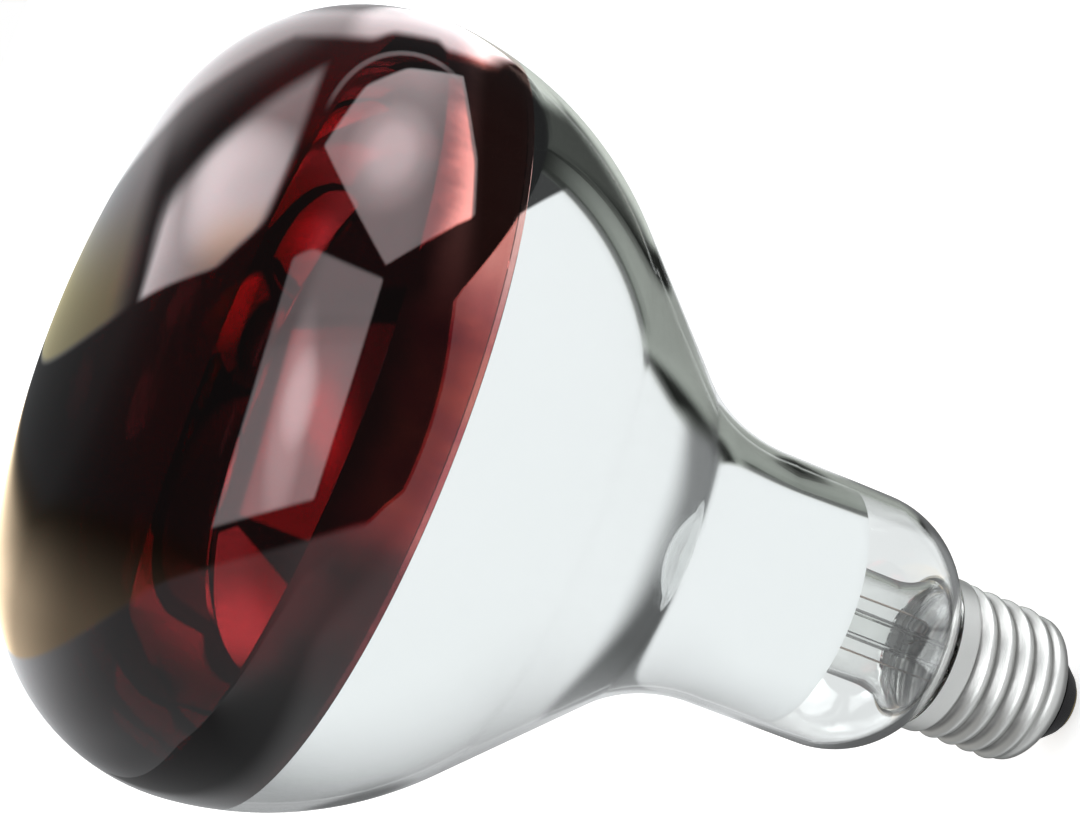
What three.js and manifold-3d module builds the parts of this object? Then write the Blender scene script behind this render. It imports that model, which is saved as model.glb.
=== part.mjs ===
// A heat lamp: a blown glass reflector bulb with a ruby front on an Edison screw cap, in millimetres.
// The lamp's axis is Z. The origin is at the end of the centre contact, and the ruby front is at the top.

import * as THREE from 'three';
import { mergeVertices } from 'three/addons/utils/BufferGeometryUtils.js';
import Module from 'manifold-3d';

const wasm = await Module();
wasm.setup();

// Clearance between pieces that touch
const fit = 0.3;

// Sides of the large turned pieces, of the small ones and of the wires
const largeSides = 32;
const smallSides = 16;
const wireSides = 6;

// The glass envelope. Its heights are measured up from the cap's rim, except for the crown's,
// which is measured up from the widest point, and the waist's, which is measured down from it.
const bulbDiameter = 125;
const bulbHeight = 151;
const glassWall = 1.2;
const neckDiameter = 43.4;
const neckStart = 15;
const waistDrop = 78.6;
const waistRadius = 31;
const bellyRadius = 57.5;
const bellyEndAngle = 0.055;
const crownHeight = 37.1;
const knuckleRadius = 33.8;
const tailLength = 2.4;
const tailRadius = 11.6;

// The ruby layer starts below the bulb's widest point, and the silver layer runs on under it past that point
const seamDrop = 9.2;
const mirrorStart = 23;
const mirrorOverlap = 13.3;
const coatThickness = 0.3;
const mirrorThickness = 0.3;

// The screw cap
const capHeight = 30;
const capWall = 0.35;
const skirtRadius = 13.3;
const skirtLength = 3.5;
const threadPitch = 3.629;
const threadTurns = 4.6;
const threadCrestRadius = 13.15;
const threadDepth = 1.05;
const threadSteps = 6;
const capSides = 32;
const capEndRadius = 8.35;
const insulatorFaceRadius = 5.6;
const insulatorHeight = 3.7;
const insulatorBoss = 3.6;
const contactRadius = 4.8;
const contactThickness = 0.4;
const eyeletRadius = 1.3;
const eyeletBore = 0.8;
const solderHeight = 0.7;
const solderFaceRadius = 2.1;
const solderBaseRadius = 2.9;
const solderPlug = 1.2;
const cementTop = 1.4;
const cementLength = 1;
const sideHoleDepth = 3;
const sideSolderRadius = 1.3;
const sideSolderHeight = 0.9;

// The stem
const flareRadius = 9.2;
const flareWall = 1.1;
const flareLipHeight = 1.2;
const flareStraightStart = 9;
const flareTaperStart = 27;
const flareTop = 34;
const flareTopRadius = 6.4;
const pressWidth = 15;
const pressThickness = 5.6;
const pressHeight = 12;
const sealWireRadius = 0.35;
const sealWireReach = 0.8;
const exhaustRadius = 2.5;
const exhaustWall = 0.8;
const exhaustTip = 9;
const rodRadius = 2;
const rodLength = 14;
const buttonRadius = 3.4;

// The filament, its supports and its leads
const ringRadius = 15;
const ringOpening = Math.PI * 2 / 9;
const coilRadius = 1.05;
const coilTurns = 30;
const coilWireRadius = 0.25;
const hookCount = 5;
const hookSpacing = Math.PI * 0.31;
const hookWireRadius = 0.2;
const hookSocketDepth = 1;
const hookSteps = 20;
const hookEyeTurn = Math.PI * 1.65;
const leadSpacing = 9;
const innerLeadRadius = 0.5;
const outerLeadRadius = 0.2;

// The heights of the widest point and of the waist above the cap's rim
const equatorHeight = bulbHeight - crownHeight;
const waistHeight = equatorHeight - waistDrop;

// Heights that follow from the sizes above, from the end of the centre contact
const contactZ = solderHeight + fit;
const insulatorZ = contactZ + contactThickness + fit;
const insulatorNeckZ = insulatorZ + insulatorHeight;
const insulatorTopZ = insulatorNeckZ + insulatorBoss;
const capEndZ = insulatorNeckZ + fit;
const capTopZ = capHeight - fit;
const threadTopZ = capHeight - skirtLength;
const threadEndZ = threadTopZ - threadTurns * threadPitch;
const sideHoleZ = capHeight - sideHoleDepth;
const seamZ = capHeight + equatorHeight - seamDrop;
const pressZ = capHeight + flareTop + fit;
const pressTopZ = pressZ + pressHeight;
const rodZ = pressTopZ + fit;
const buttonZ = rodZ + rodLength + fit + buttonRadius;
const filamentZ = buttonZ;
const leadX = leadSpacing / 2;
const outerLeadZ = pressZ - sealWireReach - fit;
const innerLeadZ = pressTopZ + sealWireReach + fit;

// The materials
const material = (color, roughness, metalness) => (
  new THREE.MeshStandardMaterial({ color, roughness, metalness })
);
const clearGlass = material(0xd9dedd, 0.08, 0);
const rubyGlass = material(0x3a0408, 0.06, 0.1);
const silver = material(0xf0f2f2, 0.05, 1);
const nickelled = material(0xc9c8c2, 0.25, 1);
const brass = material(0xb89a56, 0.35, 1);
const solder = material(0xa9acad, 0.4, 1);
const blackGlass = material(0x0b0b0c, 0.15, 0);
const cement = material(0x8a857a, 0.9, 0);
const tungsten = material(0x6f6f70, 0.45, 1);
const copper = material(0xb3683c, 0.35, 1);

const lamp = new THREE.Group();

function add(name, geometry, pieceMaterial) {
  const mesh = new THREE.Mesh(geometry, pieceMaterial);
  mesh.name = name;
  lamp.add(mesh);
  return mesh;
}

// Points of an arc, in (radius, height), from one angle to another
function arc(centreR, centreZ, radius, from, to, steps) {
  const points = [];
  for (let i = 0; i <= steps; i += 1) {
    const angle = from + (to - from) * i / steps;
    points.push([centreR + radius * Math.cos(angle), centreZ + radius * Math.sin(angle)]);
  }
  return points;
}

// A turned solid from a profile of [radius, height] points, counter-clockwise seen with the radius to the right
function turned(profile, sides) {
  const points = profile.map(([r, z]) => new THREE.Vector2(Math.max(r, 0), z));
  const closed = profile[0][0] > 0;
  if (closed) {
    points.push(points[0].clone());
  }
  const geometry = new THREE.LatheGeometry(points, sides);
  geometry.rotateX(Math.PI / 2);
  return geometry;
}

// A wire of round section along a path
function wire(path, radius, steps) {
  const section = new THREE.Shape();
  for (let i = 0; i < wireSides; i += 1) {
    const angle = i * 2 * Math.PI / wireSides;
    const x = radius * Math.cos(angle);
    const y = radius * Math.sin(angle);
    if (i === 0) {
      section.moveTo(x, y);
    } else {
      section.lineTo(x, y);
    }
  }
  section.closePath();
  return new THREE.ExtrudeGeometry(section, { steps, bevelEnabled: false, extrudePath: path });
}

function wireThrough(points, radius, steps) {
  const path = new THREE.CatmullRomCurve3(points.map((p) => new THREE.Vector3(...p)), false, 'centripetal');
  return wire(path, radius, steps);
}

function toSolid(geometry) {
  const bare = geometry.clone();
  bare.deleteAttribute('normal');
  bare.deleteAttribute('uv');
  const merged = mergeVertices(bare, 1e-4);
  const vertProperties = new Float32Array(merged.attributes.position.array);
  const triVerts = new Uint32Array(merged.index.array);
  return new wasm.Manifold(new wasm.Mesh({ numProp: 3, vertProperties, triVerts }));
}

function toGeometry(solid) {
  const mesh = solid.getMesh();
  const geometry = new THREE.BufferGeometry();
  geometry.setAttribute('position', new THREE.BufferAttribute(new Float32Array(mesh.vertProperties), 3));
  geometry.setIndex(new THREE.BufferAttribute(new Uint32Array(mesh.triVerts), 1));
  geometry.computeVertexNormals();
  return geometry;
}

// A round bar between two points, used to bore a hole
function bar(from, to, radius) {
  const start = new THREE.Vector3(...from);
  const end = new THREE.Vector3(...to);
  const geometry = new THREE.CylinderGeometry(radius, radius, start.distanceTo(end), 8);
  const turn = new THREE.Quaternion().setFromUnitVectors(
    new THREE.Vector3(0, 1, 0),
    end.clone().sub(start).normalize(),
  );
  geometry.applyQuaternion(turn);
  const middle = start.add(end).multiplyScalar(0.5);
  geometry.translate(middle.x, middle.y, middle.z);
  return geometry;
}

// The envelope's outline, moved inward by an inset. It runs from the tail in the cap to the crown.
// Shoulder, neck, waist, belly, knuckle and face meet smoothly, so one set of centres serves every inset.
const neckRadius = neckDiameter / 2;
const bulbRadius = bulbDiameter / 2;
const skirtBore = skirtRadius - capWall;
const shoulderStep = neckRadius - (skirtBore - fit);
const shoulderRadius = (neckStart ** 2 + shoulderStep ** 2) / (2 * shoulderStep);
const shoulderR = neckRadius - shoulderRadius;

function outline(inset) {
  const shoulderAngle = Math.asin(neckStart / shoulderRadius);
  const waist = { r: neckRadius + waistRadius, z: waistHeight };
  const knuckle = { r: bulbRadius - knuckleRadius, z: equatorHeight };
  const belly = {
    r: knuckle.r - (bellyRadius - knuckleRadius) * Math.cos(bellyEndAngle),
    z: knuckle.z + (bellyRadius - knuckleRadius) * Math.sin(bellyEndAngle),
  };
  const rise = belly.z - waist.z;
  const step = belly.r - waist.r;
  const coneAngle = Math.atan2(step, rise)
    + Math.asin((waistRadius + bellyRadius) / Math.hypot(rise, step));

  const faceDepth = bulbHeight - knuckle.z;
  const faceRadius = (faceDepth ** 2 + knuckle.r ** 2 - knuckleRadius ** 2)
    / (2 * (faceDepth - knuckleRadius));
  const faceZ = bulbHeight - faceRadius;
  const faceAngle = Math.atan2(knuckle.z - faceZ, knuckle.r);

  const points = [
    [tailRadius - inset, -tailLength],
    [tailRadius - inset, -tailLength / 2],
    ...arc(shoulderR, neckStart, shoulderRadius - inset, -shoulderAngle, 0, 4),
    ...arc(waist.r, waist.z, waistRadius + inset, Math.PI, Math.PI - coneAngle, 4),
    ...arc(belly.r, belly.z, bellyRadius - inset, -coneAngle, -bellyEndAngle, 5),
    ...arc(knuckle.r, knuckle.z, knuckleRadius - inset, 0, faceAngle, 5),
    ...arc(0, faceZ, faceRadius - inset, faceAngle, Math.PI / 2, 4).slice(1),
  ];
  points[points.length - 1][0] = 0;
  return points.map(([r, z]) => [r, z + capHeight]);
}

// The point of an outline at a height, and the stretches above and below it
function pointAt(points, z) {
  const i = points.findIndex((point) => point[1] > z);
  const [a, b] = [points[i - 1], points[i]];
  return [a[0] + (b[0] - a[0]) * (z - a[1]) / (b[1] - a[1]), z];
}

function above(points, z) {
  return [pointAt(points, z), ...points.filter((point) => point[1] > z + 0.01)];
}

function below(points, z) {
  return [...points.filter((point) => point[1] < z - 0.01), pointAt(points, z)];
}

// Glass bulb: open at the tail, with a shallow step above the seam for the ruby layer
const outerGlass = [
  ...below(outline(0), seamZ),
  ...above(outline(coatThickness + fit), seamZ),
];
const innerGlass = outline(glassWall);
add('glass_bulb', turned([...outerGlass, ...innerGlass.reverse()], largeSides), clearGlass);

// Ruby layer on the front
const rubyOuter = above(outline(0), seamZ + fit);
const rubyInner = above(outline(coatThickness), seamZ + fit);
add('ruby_coating', turned([...rubyOuter, ...rubyInner.reverse()], largeSides), rubyGlass);

// Silver layer inside the reflector and the neck
function silvered(inset) {
  return below(above(outline(inset), capHeight + mirrorStart), seamZ + mirrorOverlap);
}
const mirrorOuter = silvered(glassWall + fit);
const mirrorInner = silvered(glassWall + fit + mirrorThickness);
add('mirror_film', turned([...mirrorOuter, ...mirrorInner.reverse()], largeSides), silver);

// Stem flare: a tube that widens to meet the shoulder just above the cap, and narrows at the press
const lipReach = shoulderRadius - glassWall - fit;
const lipRadius = shoulderR + Math.sqrt(lipReach ** 2 - (neckStart - flareLipHeight) ** 2);

function flareOutline(inset) {
  const drop = flareStraightStart - flareLipHeight;
  const spread = lipRadius - flareRadius;
  const bellRadius = (drop ** 2 + spread ** 2) / (2 * spread);
  const bellAngle = Math.asin(drop / bellRadius);
  const bell = arc(
    flareRadius + bellRadius,
    flareStraightStart,
    bellRadius + inset,
    Math.PI + bellAngle,
    Math.PI,
    4,
  );
  return [...bell, [flareRadius - inset, flareTaperStart], [flareTopRadius - inset, flareTop]]
    .map(([r, z]) => [r, z + capHeight]);
}
add('stem_flare', turned([...flareOutline(0), ...flareOutline(flareWall).reverse()], smallSides), clearGlass);

// Stem press: the flattened end of the stem, with a channel for each sealed wire
function pressSection() {
  const section = new THREE.Shape();
  const half = (pressWidth - pressThickness) / 2;
  section.absarc(half, 0, pressThickness / 2, -Math.PI / 2, Math.PI / 2, false);
  section.absarc(-half, 0, pressThickness / 2, Math.PI / 2, Math.PI * 3 / 2, false);
  for (const side of [-1, 1]) {
    const channel = new THREE.Path();
    channel.absarc(side * leadX, 0, sealWireRadius + fit, 0, Math.PI * 2, true);
    section.holes.push(channel);
  }
  return section;
}
const press = new THREE.ExtrudeGeometry(pressSection(), {
  depth: pressHeight,
  bevelEnabled: false,
  curveSegments: 6,
});
add('stem_press', press, clearGlass).position.z = pressZ;

// Exhaust tube: open in the press, sealed at its tip inside the cap
function exhaustOutline(radius) {
  const tipZ = capHeight - exhaustTip;
  return [
    ...arc(0, tipZ + exhaustRadius, radius, -Math.PI / 2, 0, 3),
    [radius, pressZ - fit],
  ];
}
const exhaust = [...exhaustOutline(exhaustRadius), ...exhaustOutline(exhaustRadius - exhaustWall).reverse()];
add('exhaust_tube', turned(exhaust, smallSides), clearGlass);

// Support rod: the glass rod that stands on the press
const rod = [[0, 0], [rodRadius, 0], [rodRadius, rodLength], [0, rodLength]];
add('support_rod', turned(rod, smallSides), clearGlass).position.z = rodZ;

// Hooks: each leaves its socket in the button level, then turns round the filament as an eye
const coilEnvelope = coilRadius + coilWireRadius;
const eyeRadius = coilEnvelope + fit + hookWireRadius;
const hookZ = filamentZ - eyeRadius;
const socketMouth = Math.sqrt(buttonRadius ** 2 - eyeRadius ** 2);

function hookAngle(i) {
  return Math.PI / 2 + (i - (hookCount - 1) / 2) * hookSpacing;
}

function at(angle, r, z) {
  return [r * Math.cos(angle), r * Math.sin(angle), z];
}

// Support button: a glass bead with a socket for each hook
let button = toSolid(turned(arc(0, buttonZ, buttonRadius, -Math.PI / 2, Math.PI / 2, 8), smallSides));
for (let i = 0; i < hookCount; i += 1) {
  const inner = at(hookAngle(i), socketMouth - hookSocketDepth - fit, hookZ);
  const outer = at(hookAngle(i), buttonRadius * 2, hookZ);
  button = button.subtract(toSolid(bar(inner, outer, hookWireRadius + fit)));
}
add('support_button', toGeometry(button), clearGlass);

for (let i = 0; i < hookCount; i += 1) {
  const angle = hookAngle(i);
  const eye = arc(ringRadius, filamentZ, eyeRadius, -Math.PI / 2, -Math.PI / 2 + hookEyeTurn, 10);
  const points = [
    at(angle, socketMouth - hookSocketDepth, hookZ),
    at(angle, ringRadius / 2, hookZ),
    ...eye.map(([r, z]) => at(angle, r, z)),
  ];
  add(`support_hook_${i + 1}`, wireThrough(points, hookWireRadius, hookSteps), tungsten);
}

// Filament: a coil wound round an open ring, with both ends at the bottom of the coil
function filamentGeometry() {
  const stepsPerTurn = 8;
  const sides = 5;
  const steps = coilTurns * stepsPerTurn;
  const start = -Math.PI / 2 + ringOpening / 2;
  const sweep = Math.PI * 2 - ringOpening;
  const place = (t) => {
    const around = start + sweep * t;
    const turn = -Math.PI / 2 + Math.PI * 2 * coilTurns * t;
    const outward = new THREE.Vector3(Math.cos(around), Math.sin(around), 0);
    const normal = outward.clone().multiplyScalar(Math.cos(turn));
    normal.z = Math.sin(turn);
    const centre = outward.clone().multiplyScalar(ringRadius);
    centre.z = filamentZ;
    return { normal, point: centre.addScaledVector(normal, coilRadius) };
  };
  const positions = [];
  const index = [];
  for (let i = 0; i <= steps; i += 1) {
    const t = i / steps;
    const { normal, point } = place(t);
    const ahead = place(t + 1e-4).point.sub(place(t - 1e-4).point).normalize();
    const across = new THREE.Vector3().crossVectors(ahead, normal).normalize();
    for (let j = 0; j < sides; j += 1) {
      const angle = j * Math.PI * 2 / sides;
      const corner = point.clone()
        .addScaledVector(normal, coilWireRadius * Math.cos(angle))
        .addScaledVector(across, coilWireRadius * Math.sin(angle));
      positions.push(corner.x, corner.y, corner.z);
    }
  }
  for (let i = 0; i < steps; i += 1) {
    for (let j = 0; j < sides; j += 1) {
      const a = i * sides + j;
      const b = i * sides + (j + 1) % sides;
      index.push(a, b, b + sides, a, b + sides, a + sides);
    }
  }
  const last = steps * sides;
  for (let j = 1; j < sides - 1; j += 1) {
    index.push(0, j + 1, j, last, last + j, last + j + 1);
  }
  const geometry = new THREE.BufferGeometry();
  geometry.setAttribute('position', new THREE.Float32BufferAttribute(positions, 3));
  geometry.setIndex(index);
  geometry.computeVertexNormals();
  return geometry;
}
add('filament', filamentGeometry(), tungsten);

// Leads: each is an inner wire, a short wire sealed in the press and an outer wire
const sealWireLength = pressHeight + 2 * sealWireReach;
const leadEndZ = filamentZ - coilEnvelope - fit;
const leadEnd = {
  x: ringRadius * Math.sin(ringOpening / 2),
  y: -ringRadius * Math.cos(ringOpening / 2),
};
for (const [name, side] of [['left', -1], ['right', 1]]) {
  const points = [
    [side * leadX, 0, innerLeadZ],
    [side * leadX, 0, innerLeadZ + 2],
    [side * (leadX + leadEnd.x) / 2, leadEnd.y / 2, (innerLeadZ + leadEndZ) / 2],
    [side * leadEnd.x, leadEnd.y, leadEndZ - 4],
    [side * leadEnd.x, leadEnd.y, leadEndZ],
  ];
  add(`inner_lead_${name}`, wireThrough(points, innerLeadRadius, 12), nickelled);
  const sealWire = new THREE.CylinderGeometry(sealWireRadius, sealWireRadius, sealWireLength, 8);
  sealWire.rotateX(Math.PI / 2);
  const seal = add(`seal_wire_${name}`, sealWire, copper);
  seal.position.set(side * leadX, 0, pressZ + pressHeight / 2);
}

// The left lead runs down to the centre contact and ends above its solder
const solderPlugZ = solderHeight + solderPlug;
const centrePoints = [
  [-leadX, 0, outerLeadZ],
  [-leadX, 0, (outerLeadZ + capHeight) / 2],
  [-leadX, 0, capHeight],
  [-leadX, 0, capHeight - exhaustTip],
  [-leadX / 2, 0, (capHeight - exhaustTip + insulatorTopZ) / 2],
  [0, 0, insulatorTopZ + 1.5],
  [0, 0, insulatorNeckZ],
  [0, 0, solderPlugZ + fit],
];
add('outer_lead_centre', wireThrough(centrePoints, outerLeadRadius, 22), copper);

// The right lead runs out below the bulb's tail and through a hole in the skirt
const sidePoints = [
  [leadX, 0, outerLeadZ],
  [leadX, 0, (outerLeadZ + capHeight) / 2],
  [leadX, 0, capHeight],
  [leadX * 0.9, tailRadius * 0.1, sideHoleZ + 1.4],
  [leadX * 0.45, tailRadius * 0.45, sideHoleZ],
  [0, tailRadius * 0.85, sideHoleZ],
  [0, skirtRadius, sideHoleZ],
];
add('outer_lead_side', wireThrough(sidePoints, outerLeadRadius, 22), copper);

// Screw cap: a plain skirt, a round thread and a rounded end, in sheet of one thickness.
// The thread starts sharply at the skirt and fades out softly at the end.
const threadMean = threadCrestRadius - threadDepth / 2;
const skirtRunOut = threadPitch / 4;
const endRunOut = threadPitch / 2;

function capRadius(z, angle) {
  const smooth = THREE.MathUtils.smoothstep;
  if (z < threadEndZ) {
    const share = (z - capEndZ) / (threadEndZ - capEndZ);
    return capEndRadius + (threadMean - capEndRadius) * Math.sin(share * Math.PI / 2);
  }
  const skirtShare = smooth(z, threadTopZ - skirtRunOut, threadTopZ);
  const fade = smooth(z, threadEndZ, threadEndZ + endRunOut) * (1 - skirtShare);
  const wave = Math.cos(2 * Math.PI * (z - threadEndZ) / threadPitch - angle);
  return threadMean + (skirtRadius - threadMean) * skirtShare + fade * wave * threadDepth / 2;
}

function capGeometry() {
  const threadRows = Math.round(threadTurns * threadSteps);
  const endRows = 4;
  const heights = [capTopZ, (capTopZ + threadTopZ) / 2];
  for (let i = 0; i <= threadRows; i += 1) {
    heights.push(threadTopZ + (threadEndZ - threadTopZ) * i / threadRows);
  }
  for (let i = 1; i <= endRows; i += 1) {
    heights.push(threadEndZ + (capEndZ - threadEndZ) * i / endRows);
  }
  const positions = [];
  const index = [];
  const rows = heights.length * 2;
  for (let j = 0; j < capSides; j += 1) {
    const angle = j * Math.PI * 2 / capSides;
    const outer = heights.map((z) => [capRadius(z, angle), z]);
    const inner = heights.map((z) => {
      const slope = (capRadius(z + 0.05, angle) - capRadius(z - 0.05, angle)) / 0.1;
      const length = Math.hypot(1, slope);
      return [capRadius(z, angle) - capWall * length, z];
    });
    for (const [r, z] of [...outer, ...inner.reverse()]) {
      positions.push(r * Math.cos(angle), r * Math.sin(angle), z);
    }
  }
  for (let j = 0; j < capSides; j += 1) {
    const next = (j + 1) % capSides;
    for (let i = 0; i < rows; i += 1) {
      const nextRow = (i + 1) % rows;
      const [a, b] = [j * rows + i, next * rows + i];
      const [c, d] = [next * rows + nextRow, j * rows + nextRow];
      index.push(a, c, b, a, d, c);
    }
  }
  const geometry = new THREE.BufferGeometry();
  geometry.setAttribute('position', new THREE.Float32BufferAttribute(positions, 3));
  geometry.setIndex(index);
  return geometry;
}
const sideHole = bar([0, tailRadius, sideHoleZ], [0, skirtRadius + 2, sideHoleZ], outerLeadRadius + fit);
const cap = toSolid(capGeometry()).subtract(toSolid(sideHole));
add('cap_shell', toGeometry(cap), nickelled);

// Cement between the skirt and the bulb's tail
const cementRing = [
  [tailRadius + fit, capHeight - cementTop - cementLength],
  [skirtBore - fit, capHeight - cementTop - cementLength],
  [skirtBore - fit, capHeight - cementTop],
  [tailRadius + fit, capHeight - cementTop],
];
add('cap_cement', turned(cementRing, largeSides), cement);

// Black glass insulator: it closes the cap's end and carries the contact. Its boss clears the shell's sheet,
// which leans in at the end and so is about two walls wide there.
const insulatorBore = eyeletRadius + fit;
const insulatorBossRadius = capEndRadius - 2 * capWall - fit;
const insulator = [
  [insulatorBore, insulatorZ],
  [insulatorFaceRadius, insulatorZ],
  [capEndRadius, insulatorNeckZ],
  [insulatorBossRadius, insulatorNeckZ],
  [insulatorBossRadius, insulatorTopZ],
  [insulatorBore, insulatorTopZ],
];
add('cap_insulator', turned(insulator, largeSides), blackGlass);

// Centre contact: a disc with an eyelet through the insulator
const contact = [
  [eyeletBore, contactZ],
  [contactRadius, contactZ],
  [contactRadius, contactZ + contactThickness],
  [eyeletRadius, contactZ + contactThickness],
  [eyeletRadius, insulatorTopZ + fit],
  [eyeletBore, insulatorTopZ + fit],
];
add('centre_contact', turned(contact, smallSides), brass);

// Solder on the centre contact: flat where it meets the lampholder, with a plug in the eyelet
const centreSolder = [
  [0, 0],
  [solderFaceRadius, 0],
  [solderBaseRadius, solderHeight],
  [eyeletBore - fit, solderHeight],
  [eyeletBore - fit, solderPlugZ],
  [0, solderPlugZ],
];
add('centre_solder', turned(centreSolder, smallSides), solder);

// Solder over the side lead's end, on the skirt
const sideSolderProfile = [
  new THREE.Vector2(0, 0),
  new THREE.Vector2(sideSolderRadius, 0),
  new THREE.Vector2(sideSolderRadius * 0.9, sideSolderHeight * 0.5),
  new THREE.Vector2(sideSolderRadius * 0.5, sideSolderHeight * 0.9),
  new THREE.Vector2(0, sideSolderHeight),
];
const sideSolder = add('side_solder', new THREE.LatheGeometry(sideSolderProfile, 12), solder);
sideSolder.position.set(0, skirtRadius + fit, sideHoleZ);

export default lamp;
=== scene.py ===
"""An infrared heat lamp: a ruby fronted reflector bulb on a screw cap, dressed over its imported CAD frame.

The script is written in millimetres and makes its meshes in metres. The lamp's axis is Z, the end of the
centre contact is at the origin, and the ruby front is at the top. Most heights are measured from the cap's
rim.
"""

import bpy
import numpy as np
from mathutils import Matrix, Vector


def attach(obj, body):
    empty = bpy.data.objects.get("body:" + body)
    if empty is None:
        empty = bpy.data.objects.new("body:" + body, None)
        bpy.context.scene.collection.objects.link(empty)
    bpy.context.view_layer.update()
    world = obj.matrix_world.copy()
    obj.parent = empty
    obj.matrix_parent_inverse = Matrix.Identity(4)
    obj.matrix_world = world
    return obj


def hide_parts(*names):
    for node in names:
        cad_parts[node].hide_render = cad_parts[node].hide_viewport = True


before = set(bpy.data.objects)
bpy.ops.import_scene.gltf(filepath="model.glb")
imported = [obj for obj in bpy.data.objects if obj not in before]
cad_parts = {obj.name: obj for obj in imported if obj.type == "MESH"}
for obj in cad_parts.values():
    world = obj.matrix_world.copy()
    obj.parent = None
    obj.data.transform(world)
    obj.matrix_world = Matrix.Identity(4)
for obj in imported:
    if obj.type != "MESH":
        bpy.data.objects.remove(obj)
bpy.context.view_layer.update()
scene = bpy.context.scene
scene.view_settings.view_transform = "Standard"


# Glass bulb. Clear glass blown in one piece, from the tail that is cemented into the cap to the crown. Its
# shoulder, neck, waist, belly, knuckle and face are arcs that run into each other, and a shallow step above the
# seam takes the ruby layer.
MM = 0.001
RIM = 30.0
BULB_RADIUS = 62.5
BULB_HEIGHT = 151.0
GLASS_WALL = 1.2
NECK_RADIUS = 21.7
NECK_START = 15.0
NECK_END = 35.3
WAIST_RADIUS = 31.0
BELLY_RADIUS = 57.5
BELLY_END = 0.055
EQUATOR = 113.9
KNUCKLE_RADIUS = 33.8
TAIL_RADIUS = 11.6
TAIL_LENGTH = 2.4
SKIRT_BORE = 12.95
FIT = 0.3
SEAM = 104.7
SEAM_GAP = 0.03
RUBY_LAYER = 0.3
SHOULDER_STEP = NECK_RADIUS - (SKIRT_BORE - FIT)
SHOULDER_RADIUS = (NECK_START**2 + SHOULDER_STEP**2) / (2 * SHOULDER_STEP)
SHOULDER_R = NECK_RADIUS - SHOULDER_RADIUS
BULB_SIDES = 256
CLEAR_DARK = (0.955, 0.965, 0.955, 1.0)
CLEAR_LIGHT = (0.975, 0.98, 0.975, 1.0)
GLASS_INDEX = 1.5


class Shade:
    """A socket of a node tree that can be used in arithmetic."""

    def __init__(self, tree, socket):
        self.tree = tree
        self.socket = socket

    def make(self, kind, inputs, output=0, **settings):
        """Adds any other node: its settings first, then its inputs, which are values or sockets."""
        node = self.tree.nodes.new(kind)
        for name, value in settings.items():
            setattr(node, name, value)
        for name, value in inputs.items():
            if isinstance(value, Shade):
                self.tree.links.new(value.socket, node.inputs[name])
            else:
                node.inputs[name].default_value = value
        return Shade(self.tree, node.outputs[output])

    def maths(self, operation, *others):
        """A Math node's operation on this and any others, in that order."""
        inputs = dict(enumerate((self, *others)))
        return self.make("ShaderNodeMath", inputs, operation=operation)

    def __add__(self, other):
        return self.maths("ADD", other)

    def __radd__(self, other):
        return self.make("ShaderNodeMath", {0: other, 1: self}, operation="ADD")

    def __sub__(self, other):
        return self.maths("SUBTRACT", other)

    def __rsub__(self, other):
        return self.make("ShaderNodeMath", {0: other, 1: self}, operation="SUBTRACT")

    def __mul__(self, other):
        return self.maths("MULTIPLY", other)

    def __rmul__(self, other):
        return self.make("ShaderNodeMath", {0: other, 1: self}, operation="MULTIPLY")

    def __truediv__(self, other):
        return self.maths("DIVIDE", other)

    def __rtruediv__(self, other):
        return self.make("ShaderNodeMath", {0: other, 1: self}, operation="DIVIDE")

    def step(self, start, end):
        """Rises smoothly from 0 at start to 1 at end, or falls if start is the larger."""
        rising = start < end
        return self.make(
            "ShaderNodeMapRange",
            {
                "Value": self,
                "From Min": min(start, end),
                "From Max": max(start, end),
                "To Min": 0.0 if rising else 1.0,
                "To Max": 1.0 if rising else 0.0,
            },
            interpolation_type="SMOOTHSTEP",
        )

    def dot(self, vector):
        """How far this vector reaches along another."""
        return self.make("ShaderNodeVectorMath", {0: self, 1: vector}, 1, operation="DOT_PRODUCT")

    def times(self, vector):
        """This vector multiplied by another, part by part."""
        return self.make("ShaderNodeVectorMath", {0: self, 1: vector}, operation="MULTIPLY")

    def blend(self, low, high):
        """The colour low where this is 0 and high where it is 1."""
        return self.make("ShaderNodeMix", {0: self, 6: low, 7: high}, 2, data_type="RGBA")


def noise(place, scale, detail=3.0, roughness=0.5):
    """Cloudy noise between 0 and 1, with the given number of clouds to a metre."""
    inputs = {"Vector": place, "Scale": scale, "Detail": detail, "Roughness": roughness}
    return place.make("ShaderNodeTexNoise", inputs)


def new_material(name):
    """A plain Principled material, its shader node and its object coordinates."""
    material = bpy.data.materials.new(name)
    material.use_nodes = True
    tree = material.node_tree
    coordinates = tree.nodes.new("ShaderNodeTexCoord")
    return material, tree.nodes["Principled BSDF"], Shade(tree, coordinates.outputs["Object"])


def feed(shader, **sockets):
    """Links worked out values into the shader's inputs, whose spaces are written as underscores."""
    for name, value in sockets.items():
        value.tree.links.new(value.socket, shader.inputs[name.replace("_", " ")])


def arc(centre_r, centre_z, radius, start, end, steps):
    """Points centre + radius (cos a, sin a), for angles a evenly from start to end."""
    a = np.linspace(start, end, steps + 1)
    return np.column_stack((centre_r + radius * np.cos(a), centre_z + radius * np.sin(a)))


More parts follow.
